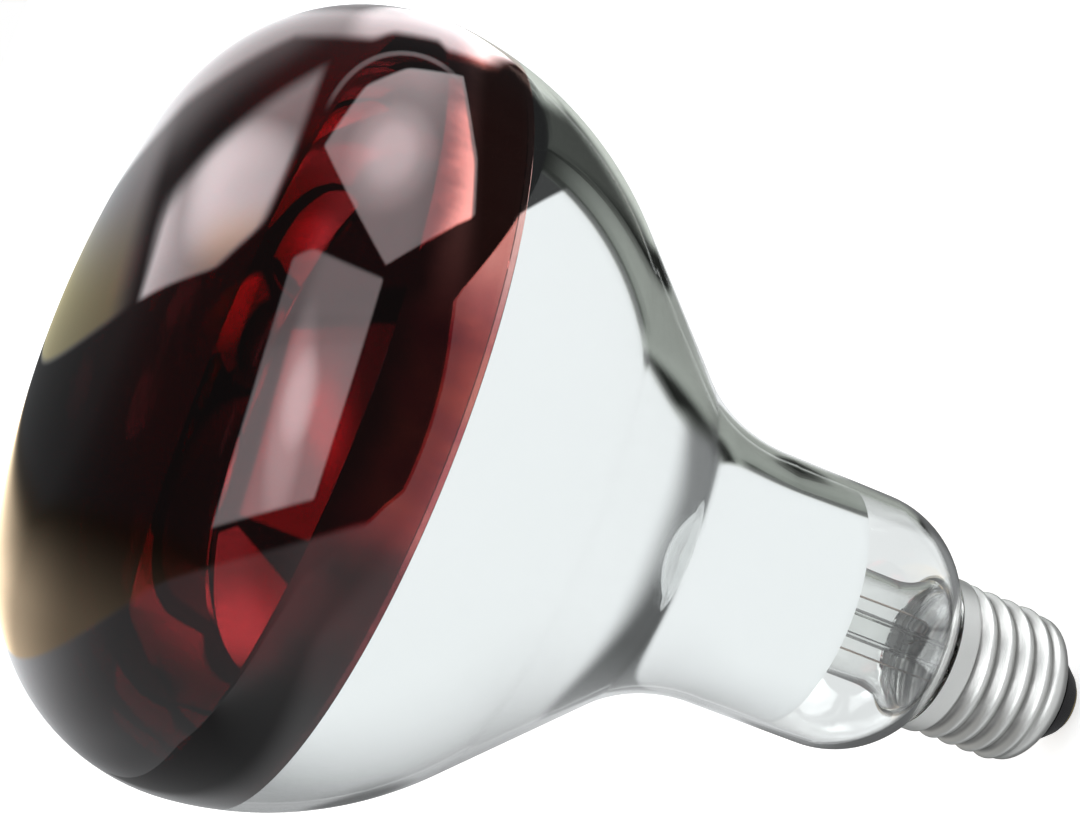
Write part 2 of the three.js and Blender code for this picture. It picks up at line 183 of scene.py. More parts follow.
def outline(inset):
    """The bulb's outline from tail to crown, moved inward by an inset.

    The waist's circle stands at r = neck + waist, the knuckle's at r = bulb - knuckle, and the belly's touches
    the knuckle's inside at the belly's end angle. The straight cone touches waist and belly from both sides,
    at the angle atan(dr / dz) + asin((waist + belly) / distance). The face's radius is the one that touches
    the knuckle's circle and reaches the bulb's height: (d^2 + r^2 - k^2) / (2 (d - k)).
    """
    waist = np.array((NECK_RADIUS + WAIST_RADIUS, NECK_END))
    knuckle = np.array((BULB_RADIUS - KNUCKLE_RADIUS, EQUATOR))
    lead = BELLY_RADIUS - KNUCKLE_RADIUS
    belly = knuckle + lead * np.array((-np.cos(BELLY_END), np.sin(BELLY_END)))
    step, rise = belly - waist
    cone = np.arctan2(step, rise) + np.arcsin((WAIST_RADIUS + BELLY_RADIUS) / np.hypot(rise, step))
    depth = BULB_HEIGHT - EQUATOR
    face = (depth**2 + knuckle[0] ** 2 - KNUCKLE_RADIUS**2) / (2 * (depth - KNUCKLE_RADIUS))
    face_angle = np.arctan2(EQUATOR - BULB_HEIGHT + face, knuckle[0])
    shoulder = np.arcsin(NECK_START / SHOULDER_RADIUS)
    points = np.vstack(
        (
            ((TAIL_RADIUS - inset, -TAIL_LENGTH), (TAIL_RADIUS - inset, -TAIL_LENGTH / 2)),
            arc(SHOULDER_R, NECK_START, SHOULDER_RADIUS - inset, -shoulder, 0, 20),
            arc(*waist, WAIST_RADIUS + inset, np.pi, np.pi - cone, 24),
            arc(*belly, BELLY_RADIUS - inset, -cone, -BELLY_END, 34),
            arc(*knuckle, KNUCKLE_RADIUS - inset, 0, face_angle, 24),
            arc(0, BULB_HEIGHT - face, face - inset, face_angle, np.pi / 2, 24)[1:],
        )
    )
    points[-1, 0] = 0
    return points + (0, RIM)


def cut(points, low=-1e9, high=1e9):
    """The stretch of an outline between two heights, with a point put in at each."""
    z = points[:, 1]
    ends = np.array([h for h in (low, high) if z[0] < h < z[-1]])
    inside = points[(z > low + 0.02) & (z < high - 0.02)]
    extra = np.column_stack((np.interp(ends, z, points[:, 0]), ends))
    both = np.vstack((inside, extra))
    return both[np.argsort(both[:, 1], kind="stable")]


def mesh_piece(name, points, quads, triangles, material, sharp=0.7):
    """A mesh piece from points in millimetres. Edges that bend more than sharp radians stay crisp."""
    mesh = bpy.data.meshes.new(name)
    faces = quads.tolist() + triangles.tolist()
    mesh.from_pydata((np.asarray(points) * MM).tolist(), [], faces)
    mesh.polygons.foreach_set("use_smooth", np.ones(len(faces), bool))
    mesh.set_sharp_from_angle(angle=sharp)
    mesh.materials.append(material)
    piece = bpy.data.objects.new(name, mesh)
    scene.collection.objects.link(piece)
    return piece


def bands(rows, sides, closed):
    """The faces of a net whose point j of row i is number i sides + j.

    Each joins points j and j + 1 of a row to those of the next row. A row closes on itself, and the last row
    joins the first where the net is closed.
    """
    i = np.arange(rows if closed else rows - 1)[:, None] * sides
    j, k = np.arange(sides)[None], (np.arange(sides)[None] + 1) % sides
    up = (i + sides) % (rows * sides)
    return np.stack((i + j, i + k, up + k, up + j), axis=-1).reshape(-1, 4)


def turned(name, path, sides, material):
    """A solid of revolution: the point (r, z) of the path goes to (r cos a, r sin a, z) for each angle a.

    The path runs up the outside and down the inside. It may start and end on the axis, where it closes in a
    pole, and otherwise its last point joins its first.
    """
    path = np.asarray(path, float)
    poles = path[0, 0] < 1e-6 and path[-1, 0] < 1e-6
    rows = path[1:-1] if poles else path
    a = np.arange(sides) * 2 * np.pi / sides
    r, z = rows[:, :1], np.repeat(rows[:, 1:], sides, axis=1)
    points = np.stack((r * np.cos(a), r * np.sin(a), z), axis=-1).reshape(-1, 3)
    triangles = np.zeros((0, 3), int)
    if poles:
        pole, last = len(points), len(points) - sides
        points = np.vstack((points, (0, 0, path[0, 1]), (0, 0, path[-1, 1])))
        j, k = np.arange(sides), (np.arange(sides) + 1) % sides
        first_fan = np.column_stack((k, j, np.full(sides, pole)))
        last_fan = np.column_stack((last + j, last + k, np.full(sides, pole + 1)))
        triangles = np.vstack((first_fan, last_fan))
    return mesh_piece(name, points, bands(len(rows), sides, not poles), triangles, material)


def shell(name, outer, inner, sides, material):
    """A blown shell: an outer and an inner wall, each closed in its own pole and joined at the open end."""
    path = np.vstack((inner[::-1], outer))
    path[0, 0] = path[-1, 0] = 0
    return turned(name, path, sides, material)


def stand_for(piece, node):
    """Puts a finished piece in place of the CAD node that it details."""
    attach(piece, "root")
    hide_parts(node)


clear_glass, shader, place = new_material("clear glass")
shader.inputs["Transmission Weight"].default_value = 1.0
shader.inputs["IOR"].default_value = GLASS_INDEX
feed(
    shader,
    Base_Color=noise(place, 25.0).blend(CLEAR_DARK, CLEAR_LIGHT),
    Roughness=0.012 * noise(place, 60.0),
)

seam_height = RIM + SEAM
below_seam = cut(outline(0), high=seam_height)
above_seam = cut(outline(RUBY_LAYER + SEAM_GAP), low=seam_height)
bulb = shell(
    "bulb_glass", np.vstack((below_seam, above_seam)), outline(GLASS_WALL), BULB_SIDES, clear_glass
)
stand_for(bulb, "glass_bulb")


# Ruby front. A ruby glaze fired on the front, from the seam to the crown. It is deepest at the crown, lighter
# on the flank that faces the camera, and thin and marbled just above the seam.
CROWN_DARK = (0.05, 0.006, 0.008, 1.0)
CROWN_RED = (0.19, 0.012, 0.016, 1.0)
FLANK_DARK = (0.23, 0.05, 0.055, 1.0)
FLANK_LIGHT = (0.29, 0.07, 0.075, 1.0)
EDGE_DARK = (0.84, 0.44, 0.40, 1.0)
EDGE_LIGHT = (0.90, 0.54, 0.50, 1.0)
MARBLED_DARK = (0.40, 0.07, 0.10, 1.0)
MARBLED_LIGHT = (0.56, 0.17, 0.14, 1.0)
DENSE_DARK = (0.12, 0.015, 0.02, 1.0)
DENSE_LIGHT = (0.18, 0.03, 0.035, 1.0)
DENSEST = (0.035, 0.010, 0.010, 1.0)
THIN_SIDE = (0.766, -0.643, 0.0)

ruby, shader, place = new_material("ruby glass")
shader.inputs["Transmission Weight"].default_value = 1.0
shader.inputs["IOR"].default_value = GLASS_INDEX
cloud = noise(place, 18.0, 2.0)
mottle = noise(place.times((1.0, 1.0, 0.5)), 70.0, 4.0, 0.6).step(0.35, 0.62)
height = place.dot((0.0, 0.0, 1.0 / MM))
toward_thin_side = place.dot(tuple(part / (BULB_RADIUS * MM) for part in THIN_SIDE))

crown = toward_thin_side.step(0.0, 0.45).blend(CROWN_DARK, CROWN_RED)
flank = cloud.blend(FLANK_DARK, FLANK_LIGHT)
down_the_flank = (height + 5.0 * (cloud - 0.5)).step(RIM + 137.0, RIM + 127.0)
deep = (down_the_flank * toward_thin_side.step(0.0, 0.16)).blend(crown, flank)

dense = mottle.blend(DENSE_DARK, DENSE_LIGHT)
dense = toward_thin_side.step(0.30, 0.0).blend(dense, DENSEST)
thin = toward_thin_side.step(0.94, 0.80).blend(
    mottle.blend(EDGE_DARK, EDGE_LIGHT), mottle.blend(MARBLED_DARK, MARBLED_LIGHT)
)
thin = toward_thin_side.step(0.52, 0.38).blend(thin, dense)
above_thin = (height + 3.0 * (mottle - 0.5)).step(seam_height + 8.0, seam_height + 14.0)
feed(shader, Base_Color=above_thin.blend(thin, deep), Roughness=0.015 * noise(place, 40.0))

front = shell(
    "ruby_front",
    cut(outline(0), low=seam_height + SEAM_GAP),
    cut(outline(RUBY_LAYER), low=seam_height + SEAM_GAP),
    BULB_SIDES,
    ruby,
)
stand_for(front, "ruby_coating")


# Silver layer. Silver laid on the inside of the reflector and the neck. It ends in a clean edge on the neck,
# and runs on a little way under the ruby.
MIRROR_START = 23.0
MIRROR_OVERLAP = 13.3
MIRROR_END = SEAM + MIRROR_OVERLAP
SILVER_DARK = (0.93, 0.945, 0.95, 1.0)
SILVER_LIGHT = (0.965, 0.975, 0.98, 1.0)

silver, shader, place = new_material("silver layer")
shader.inputs["Metallic"].default_value = 1.0
feed(
    shader,
    Base_Color=noise(place, 22.0, 3.0).blend(SILVER_DARK, SILVER_LIGHT),
    Roughness=0.005 + 0.015 * noise(place, 35.0),
)

mirror_outer, mirror_inner = (
    cut(outline(inset), low=RIM + MIRROR_START, high=RIM + MIRROR_END)
    for inset in (GLASS_WALL + FIT, GLASS_WALL + 2 * FIT)
)
mirror = turned("silver_film", np.vstack((mirror_outer, mirror_inner[::-1])), BULB_SIDES, silver)
stand_for(mirror, "mirror_film")


# Stem. A glass flare is fused to the shoulder above the cap, and narrows to the press, which holds the pumping
# tube, the rod and the bead on the rod.
FLARE_RADIUS = 9.2
FLARE_WALL = 1.1
FLARE_LIP = 1.2
FLARE_STRAIGHT = 9.0
FLARE_TAPER = 27.0
FLARE_TOP = 34.0
FLARE_TOP_RADIUS = 6.4
FLARE_SIDES = 96
LIP_REACH = SHOULDER_RADIUS - GLASS_WALL - FIT
LIP_RADIUS = SHOULDER_R + np.sqrt(LIP_REACH**2 - (NECK_START - FLARE_LIP) ** 2)


def flare_outline(inset):
    """A bell arc of radius (drop^2 + spread^2) / (2 spread), then the straight tube and its taper."""
    drop, spread = FLARE_STRAIGHT - FLARE_LIP, LIP_RADIUS - FLARE_RADIUS
    bell = (drop**2 + spread**2) / (2 * spread)
    angle = np.arcsin(drop / bell)
    curve = arc(FLARE_RADIUS + bell, FLARE_STRAIGHT, bell + inset, np.pi + angle, np.pi, 14)
    tube = ((FLARE_RADIUS - inset, FLARE_TAPER), (FLARE_TOP_RADIUS - inset, FLARE_TOP))
    return np.vstack((curve, tube)) + (0, RIM)


def dress(node, material):
    """Gives a CAD node that is shown as it is a better material."""
    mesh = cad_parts[node].data
    mesh.materials.clear()
    mesh.materials.append(material)


flare_path = np.vstack((flare_outline(0), flare_outline(FLARE_WALL)[::-1]))
flare = turned("flare", flare_path, FLARE_SIDES, clear_glass)
stand_for(flare, "stem_flare")
for node in ("stem_press", "exhaust_tube", "support_rod", "support_button"):
    dress(node, clear_glass)


# Filament, supports and leads. A fine tungsten coil round an open ring, held by five tungsten hooks and fed by
# two nickel leads, which are welded to copper wires in the press.
RING_RADIUS = 15.0
RING_OPENING = 2 * np.pi / 9
RING_HEIGHT = 94.3
COIL_RADIUS = 1.1
COIL_TURNS = 84
COIL_WIRE = 0.14
STEPS_PER_TURN = 12
WIRE_SIDES = 6


def bumped(shader, height, distance):
    """Lifts the surface by a height between 0 and 1 times a distance in millimetres."""
    inputs = {"Height": height, "Strength": 1.0, "Distance": distance * MM}
    feed(shader, Normal=height.make("ShaderNodeBump", inputs))


def metal(name, dark, light, roughness, grain=4000.0, depth=0.004, stretch=(1.0, 1.0, 1.0)):
    """A metal between two colours, with a fine grain in its colour, polish and relief."""
    material, shader, place = new_material(name)
    shader.inputs["Metallic"].default_value = 1.0
    fine = noise(place.times(stretch), grain, 2.0)
    feed(
        shader,
        Base_Color=noise(place, 90.0, 4.0).blend((*dark, 1.0), (*light, 1.0)),
        Roughness=roughness * (0.75 + 0.5 * fine),
    )
    bumped(shader, fine, depth)
    return material


def coil():
    """A coiled wire round the ring.

    With t from 0 to 1, the ring's angle is u = -pi/2 + opening/2 + (2 pi - opening) t and the coil's is
    v = -pi/2 + 2 pi turns t. The wire's middle is (R + c cos v) outward and c sin v up, for ring radius R and
    coil radius c. Its round section lies in the plane of the coil's normal and of normal x tangent.
    """
    t = np.linspace(0, 1, COIL_TURNS * STEPS_PER_TURN + 1)
    u = -np.pi / 2 + RING_OPENING / 2 + (2 * np.pi - RING_OPENING) * t
    v = -np.pi / 2 + 2 * np.pi * COIL_TURNS * t
    outward = np.column_stack((np.cos(u), np.sin(u), np.zeros_like(u)))
    normal = outward * np.cos(v)[:, None] + np.array((0, 0, 1.0)) * np.sin(v)[:, None]
    middle = outward * RING_RADIUS + normal * COIL_RADIUS + (0, 0, RING_HEIGHT)
    across = np.cross(np.gradient(middle, axis=0), normal)
    across /= np.linalg.norm(across, axis=1)[:, None]
    a = np.arange(WIRE_SIDES) * 2 * np.pi / WIRE_SIDES
    section = normal[:, None] * np.cos(a)[None, :, None] + across[:, None] * np.sin(a)[None, :, None]
    points = (middle[:, None] + COIL_WIRE * section).reshape(-1, 3)
    fan = np.arange(1, WIRE_SIDES - 1)
    last = (len(t) - 1) * WIRE_SIDES
    start_cap = np.column_stack((np.zeros_like(fan), fan + 1, fan))
    end_cap = np.column_stack((np.full_like(fan, last), last + fan, last + fan + 1))
    return points, bands(len(t), WIRE_SIDES, False), np.vstack((start_cap, end_cap))


tungsten = metal("tungsten wire", (0.20, 0.20, 0.21), (0.36, 0.35, 0.35), 0.42)
nickel = metal("nickel wire", (0.56, 0.55, 0.52), (0.72, 0.71, 0.68), 0.28)
copper = metal("copper wire", (0.30, 0.23, 0.19), (0.42, 0.32, 0.26), 0.38)

filament = mesh_piece("filament_coil", *coil(), tungsten, sharp=2.0)
stand_for(filament, "filament")
for number in range(1, 6):
    dress(f"support_hook_{number}", tungsten)
for side in ("left", "right"):
    dress(f"inner_lead_{side}", nickel)
    dress(f"seal_wire_{side}", copper)
for lead_end in ("centre", "side"):
    dress(f"outer_lead_{lead_end}", copper)


# Screw cap. A shell drawn and rolled from nickelled sheet: a plain skirt, four and a half turns of round
# right-hand thread and a rounded end.
CAP_WALL = 0.35
SKIRT_RADIUS = 13.3
CAP_TOP = RIM - FIT
THREAD_TOP = RIM - 3.5
PITCH = 3.629
THREAD_END = THREAD_TOP - 4.6 * PITCH
THREAD_CREST = 13.15
THREAD_DEPTH = 1.05
THREAD_MEAN = THREAD_CREST - THREAD_DEPTH / 2
CAP_END = 5.7
CAP_END_RADIUS = 8.35
SKIRT_RUN_OUT = PITCH / 4
END_RUN_OUT = PITCH / 2
CAP_SIDES = 192
NICKEL_DARK = (0.50, 0.50, 0.485, 1.0)
NICKEL_LIGHT = (0.65, 0.65, 0.635, 1.0)
# The grey of the painted shade in the thread roots
ROOT_SHADE_GREY = (0.16, 0.155, 0.15, 1.0)


def smooth(x, low, high):
    """3 s^2 - 2 s^3 of the share s of the way from low to high."""
    s = np.clip((x - low) / (high - low), 0, 1)
    return s * s * (3 - 2 * s)


def cap_radius(z, angle):
    """The cap's outer radius at a height z and an angle.

    It is mean + skirt + fade cos(2 pi (z - thread end) / pitch - angle) depth / 2 along the thread, and below
    it a quarter sine down to the end's radius.
    """
    share = np.clip((z - CAP_END) / (THREAD_END - CAP_END), 0, 1)
    rounded_end = CAP_END_RADIUS + (THREAD_MEAN - CAP_END_RADIUS) * np.sin(share * np.pi / 2)
    skirt = smooth(z, THREAD_TOP - SKIRT_RUN_OUT, THREAD_TOP)
    fade = smooth(z, THREAD_END, THREAD_END + END_RUN_OUT) * (1 - skirt)
    wave = np.cos(2 * np.pi * (z - THREAD_END) / PITCH - angle)
    body = THREAD_MEAN + (SKIRT_RADIUS - THREAD_MEAN) * skirt + fade * wave * THREAD_DEPTH / 2
    return np.where(z < THREAD_END, rounded_end, body)


def cap_net():
    """Outer and inner wall of the shell on one net of heights and angles, closed at rim and end.

    The inner wall is the outer one less wall times sqrt(1 + slope^2), so that the sheet is even.
    """
    z = np.concatenate(
        (
            np.linspace(CAP_END, THREAD_END, 14)[:-1],
            np.linspace(THREAD_END, THREAD_TOP, 97)[:-1],
            np.linspace(THREAD_TOP, CAP_TOP, 8),
        )
    )
    a = np.arange(CAP_SIDES) * 2 * np.pi / CAP_SIDES
    zz, aa = np.meshgrid(z, a, indexing="ij")
    outer = cap_radius(zz, aa)
    slope = (cap_radius(zz + 0.05, aa) - cap_radius(zz - 0.05, aa)) / 0.1
    inner = outer - CAP_WALL * np.sqrt(1 + slope**2)
    radius, height = np.vstack((outer, inner[::-1])), np.vstack((zz, zz[::-1]))
    angle = np.vstack((aa, aa))
    points = np.stack((radius * np.cos(angle), radius * np.sin(angle), height), axis=-1)
    return points.reshape(-1, 3), bands(len(radius), CAP_SIDES, True), np.zeros((0, 3), int)


cap_metal, shader, place = new_material("nickelled cap")
shader.inputs["Metallic"].default_value = 1.0
grain = noise(place.times((1.0, 1.0, 6.0)), 3000.0, 2.0)
along, aside = place.dot((1.0 / MM, 0.0, 0.0)), place.dot((0.0, 1.0 / MM, 0.0))
reach = (along * along + aside * aside).maths("SQRT")
in_thread = place.dot((0.0, 0.0, 1.0 / MM)).step(THREAD_END - 0.6, THREAD_END + 0.6)
# Painted shade: the colour is darkened in the thread roots, where the radius is small, above the thread's end
painted_root_shade = reach.step(12.65, 12.1) * in_thread * (0.55 + 0.5 * noise(place, 300.0))
nickelled = noise(place, 90.0, 4.0).blend(NICKEL_DARK, NICKEL_LIGHT)
feed(
    shader,
    Base_Color=painted_root_shade.blend(nickelled, ROOT_SHADE_GREY),
    Roughness=0.46 * (0.75 + 0.5 * grain),
)
bumped(shader, grain, 0.003)
cap = mesh_piece("screw_shell", *cap_net(), cap_metal)
stand_for(cap, "cap_shell")


# Cement. A ring of grey cement, baked hard between the skirt and the bulb's tail, which holds the cap on.
CEMENT_DARK = (0.24, 0.22, 0.19, 1.0)
CEMENT_LIGHT = (0.42, 0.40, 0.35, 1.0)
ROUND_SIDES = 128


def rounded(corners, radius, steps=4):
    """A closed outline with its convex corners rounded.

    At corner P between directions u and v to its neighbours, each of unit length, the bend runs from P + t u
    to P + t v as the quadratic curve through the control point P, with t the radius or 0.4 of the side.
    """
    p = np.asarray(corners, float)
    u, v = np.roll(p, 1, axis=0) - p, np.roll(p, -1, axis=0) - p
    lu, lv = np.hypot(*u.T), np.hypot(*v.T)
    t = np.minimum(radius, 0.4 * np.minimum(lu, lv))
    a, b = p + u * (t / lu)[:, None], p + v * (t / lv)[:, None]
    s = np.linspace(0, 1, steps + 1)[None, :, None]
    bend = (1 - s) ** 2 * a[:, None] + 2 * s * (1 - s) * p[:, None] + s**2 * b[:, None]
    return bend.reshape(-1, 2)


cement, shader, place = new_material("cement")
grains = noise(place, 2500.0, 4.0)
feed(
    shader, Base_Color=grains.blend(CEMENT_DARK, CEMENT_LIGHT), Roughness=0.85 + 0.1 * grains
)
bumped(shader, grains, 0.05)

cement_corners = ((11.9, 27.6), (12.65, 27.6), (12.65, 28.6), (11.9, 28.6))
cement_ring = turned("cement_ring", rounded(cement_corners, 0.15), ROUND_SIDES, cement)
stand_for(cement_ring, "cap_cement")


# Insulator. Black glass pressed into the cap's end: a cone outside and a boss inside, with a bore for the
# contact's eyelet.
BLACK_DEEP = (0.006, 0.006, 0.007, 1.0)
BLACK_WORN = (0.016, 0.015, 0.016, 1.0)

black_glass, shader, place = new_material("black glass")
feed(
    shader,
    Base_Color=noise(place, 120.0).blend(BLACK_DEEP, BLACK_WORN),
    Roughness=0.14 + 0.14 * noise(place, 500.0),
)

cone_corners = ((1.6, 1.7), (5.6, 1.7), (8.35, 5.4), (7.35, 5.4), (7.35, 9.0), (1.6, 9.0))
insulator = turned("end_insulator", rounded(cone_corners, 0.35), ROUND_SIDES, black_glass)
stand_for(insulator, "cap_insulator")


# Contact and solder. A stamped brass disc with an eyelet through the insulator, the flat drop of solder that
# joins the middle lead to it, and the solder of the other lead at the cap's rim.
CONTACT_SIDES = 96
SOLDER_SIDES = 64

brass = metal("contact brass", (0.52, 0.40, 0.18), (0.72, 0.58, 0.30), 0.34)
solder = metal("solder", (0.42, 0.43, 0.44), (0.62, 0.63, 0.64), 0.36, 1500.0, 0.02)

disc_corners = ((0.8, 1.0), (4.8, 1.0), (4.8, 1.4), (1.3, 1.4), (1.3, 9.3), (0.8, 9.3))
contact = turned("contact_disc", rounded(disc_corners, 0.12), CONTACT_SIDES, brass)
stand_for(contact, "centre_contact")

drop_edge = arc(2.1, 0.4, 0.4, -np.pi / 2, -0.6, 5)[1:]
drop_path = np.vstack(((0, 0), (2.1, 0), drop_edge, (2.9, 0.7), (0.5, 0.7), (0.5, 1.9), (0, 1.9)))
drop = turned("contact_solder", drop_path, SOLDER_SIDES, solder)
stand_for(drop, "centre_solder")
dress("side_solder", solder)


# Camera. The lamp lies across the picture, with its ruby front at the left and its cap at the lower right.
CAMERA_PLACE = Vector((0.0, -380.18, 228.31)) * MM
CAMERA_RIGHT = Vector((0.3656, -0.2955, -0.8826))
CAMERA_UP = Vector((0.9301, 0.0816, 0.3580))
CAMERA_BACK = Vector((-0.0337, -0.9519, 0.3047))

camera_data = bpy.data.cameras.new("camera")
camera_data.sensor_width = 36.0
camera_data.lens = 84.61
camera = bpy.data.objects.new("camera", camera_data)
scene.collection.objects.link(camera)
camera_turn = Matrix((CAMERA_RIGHT, CAMERA_UP, CAMERA_BACK)).transposed().to_4x4()
camera.matrix_world = Matrix.Translation(CAMERA_PLACE) @ camera_turn
scene.camera = camera


# Floor. A pale floor, which the lamp's reflections don't show.
FLOOR_LEVEL = -0.0002
FLOOR_REACH = 3.0
FLOOR_GREY = (0.9, 0.9, 0.9, 1.0)
FLOOR_GLOW = 0.62
WHITE = (1.0, 1.0, 1.0, 1.0)
BLACK = (0.0, 0.0, 0.0, 1.0)


def flat_sheet(name, corners, level, material):
    """A flat piece of the studio, from its corners in metres."""
    mesh = bpy.data.meshes.new(name)
    mesh.from_pydata([(*corner, level) for corner in corners], [], [tuple(range(len(corners)))])
    mesh.materials.append(material)
    sheet = bpy.data.objects.new(name, mesh)
    scene.collection.objects.link(sheet)
    return sheet


floor_material, shader, place = new_material("floor")
shader.inputs["Base Color"].default_value = FLOOR_GREY
shader.inputs["Roughness"].default_value = 0.9
shader.inputs["Emission Color"].default_value = WHITE
shader.inputs["Emission Strength"].default_value = FLOOR_GLOW
floor_corners = [(x * FLOOR_REACH, y * FLOOR_REACH) for x, y in ((-1, -1), (1, -1), (1, 1), (-1, 1))]
floor = flat_sheet("floor", floor_corners, FLOOR_LEVEL, floor_material)
floor.visible_glossy = False
floor.visible_transmission = False


# Table. Only the lamp's reflections show it. It is white, with a dark cloth behind the lamp, and it ends in
# front and at the right, where the room is dark. Its pattern is laid out in metres, across and back.
TABLE_LEVEL = -0.0004
TABLE_CORNERS = (
    (-2.5, -1.5),
    (-1.31, -1.5),
    (-0.06, -0.33),
    (0.27, -0.33),
    (0.25, 0.9),
    (-2.5, 0.9),
)
TABLE_TINT = (0.96, 0.985, 1.0, 1.0)
CLOTH_TINT = (0.93, 1.0, 0.92, 1.0)
SEEN_THROUGH = 0.88

table_material, shader, place = new_material("table")
across, back = place.dot((1.0, 0.0, 0.0)), place.dot((0.0, 1.0, 0.0))


def paint(base, mask, light):
    """The light base with another light painted over it where the mask is 1."""
    return base * (1.0 - mask) + mask * light


# The white falls off to the back at the left, with a dark patch there
dim = back.step(-0.08, 0.22) * across.step(-0.03, -0.09)
patch_x, patch_y = (across + 0.145) / 0.032, (back - 0.24) / 0.10
patch = (patch_x * patch_x + patch_y * patch_y).step(1.4, 0.2)
white = 0.99 * (1.0 - 0.55 * dim) * (1.0 - 0.6 * patch) * (1.0 - 0.27 * back.step(-0.22, -0.31))
white = paint(white, across.step(-0.30, -0.42), 0.20 + 0.58 * back.step(0.15, -0.40))

# A painted shadow of the lamp round its foot, which the lamp's reflections show
foot_x, foot_y = across / 0.078, (back - 0.105) / 0.118
foot_shadow = (foot_x * foot_x + foot_y * foot_y).maths("SQRT").step(1.03, 0.97) * back.step(0.125, 0.105)
foot_shadow_light = 0.13 + 0.14 * across.step(-0.045, -0.075) + 0.13 * back.step(0.04, 0.11)
foot_shadow_light = foot_shadow_light + 0.13 * across.step(0.0, 0.03) * back.step(0.045, 0.025)

# The cloth: a grey strip with a dark hem in front, a black fold along a hyperbola, and a sheen behind it
lean = 0.35 * (back - 0.10).maths("MAXIMUM", 0.0)
cloth = back.step(0.014, 0.022) * (across - lean).step(0.050, 0.062)
fold = (across - 0.082) * (back - 0.070)
strip = 0.34 * across.step(0.28, 0.10) * across.step(0.045, 0.075) + 0.13 * across.step(0.080, 0.060)
hem = back.step(0.016, 0.018) * back.step(0.036, 0.030) * across.step(0.075, 0.090)
strip = strip * (1.0 - 0.85 * hem)
sheen = (across - 0.5 * (back - 0.19)).step(0.185, 0.135) * back.step(0.115, 0.200)
behind_fold = fold.step(0.0012, 0.0022) * (0.055 + 0.65 * sheen)
cloth_light = strip * fold.step(0.0006, 0.0003) + behind_fold + 0.018

# The table's dark end at the right, and the bright part far behind
dark_end = (across + 0.5 * back).step(0.222, 0.230) * back.step(-0.15, -0.10) * back.step(0.035, 0.015)
far = back.step(0.20, 0.28) * across.step(0.20, 0.22)

# The painted shadow round the lamp's foot goes over the white
glow = paint(white, foot_shadow, foot_shadow_light)
glow = paint(glow, cloth, cloth_light)
glow = paint(glow, dark_end, 0.06)
glow = paint(glow, far, 0.75)

# Clear glass shows the white of the studio straight through it
light_path = table_material.node_tree.nodes.new("ShaderNodeLightPath")
straight = Shade(table_material.node_tree, light_path.outputs["Glossy Depth"]).step(0.6, 0.4)
glow = paint(glow, straight, SEEN_THROUGH)
shader.inputs["Base Color"].default_value = BLACK
shader.inputs["Specular IOR Level"].default_value = 0.0
shader.inputs["Emission Strength"].default_value = 1.0
feed(shader, Emission_Color=glow.blend(BLACK, cloth.blend(TABLE_TINT, CLOTH_TINT)))

table = flat_sheet("table", TABLE_CORNERS, TABLE_LEVEL, table_material)
table.visible_camera = False
table.visible_diffuse = False
table.visible_shadow = False


# Studio. A white surround with two large windows and a bright wall, and the dark of the room between them.
# Directions are laid out flat, in degrees from the one that faces the camera: x to the right, and y up.
ROOM = 0.08
SURROUND = 0.85
NEAR_WHITE = (0.93, 0.955, 0.975, 1.0)
KHAKI = (1.03, 0.95, 0.60, 1.0)
WARM_WALL = (1.0, 0.85, 0.70, 1.0)
EARTH = (1.0, 0.80, 0.55, 1.0)

world = bpy.data.worlds.new("studio")
scene.world = world
world.use_nodes = True
tree = world.node_tree
coordinates = tree.nodes.new("ShaderNodeTexCoord")
light_path = tree.nodes.new("ShaderNodeLightPath")
direction = Shade(tree, coordinates.outputs["Generated"])
camera_ray = Shade(tree, light_path.outputs["Is Camera Ray"])
diffuse_ray = Shade(tree, light_path.outputs["Is Diffuse Ray"])
straight = Shade(tree, light_path.outputs["Glossy Depth"]).step(0.6, 0.4) * (1.0 - diffuse_ray)

turn = direction.dot(tuple(CAMERA_BACK)).maths("ARCCOSINE").maths("DEGREES")
right, above = direction.dot(tuple(CAMERA_RIGHT)), direction.dot(tuple(CAMERA_UP))
spread = (right * right + above * above).maths("SQRT").maths("MAXIMUM", 1e-4)
x, y = right * turn / spread, above * turn / spread


def oval(centre_x, centre_y, half_x, half_y):
    """The square of the distance from a centre, in half axes, which is 1 on the oval's edge."""
    off_x, off_y = (x - centre_x) / half_x, (y - centre_y) / half_y
    return off_x * off_x + off_y * off_y


# The long window that faces the lamp, with a bar across it and the sun's streak down its middle
slant = x - 0.2 * y
level = y + 0.12 * x
long_window = (
    slant.step(-36.5, -34.5)
    * (x - 0.26 * y).step(8.5, 6.5)
    * y.step(-22.5, -20.5)
    * (y + 0.012 * (x + 14.0) * (x + 14.0)).step(50, 48)
    * (y + 0.35 * x).step(44, 42)
)
streak = oval(-14.0, 2.0, 10.0, 36.0).step(1.0, 0.0)
spot = oval(-11.0, 8.0, 9.0, 16.0).step(1.0, 0.0)
pane = 2.0 + 0.8 * slant.step(-28, -18) + 0.7 * y.step(34, 12) + 2.4 * streak + 3.5 * spot
pane = pane * (1.0 - 0.08 * level.step(20, 22) * level.step(30, 28))

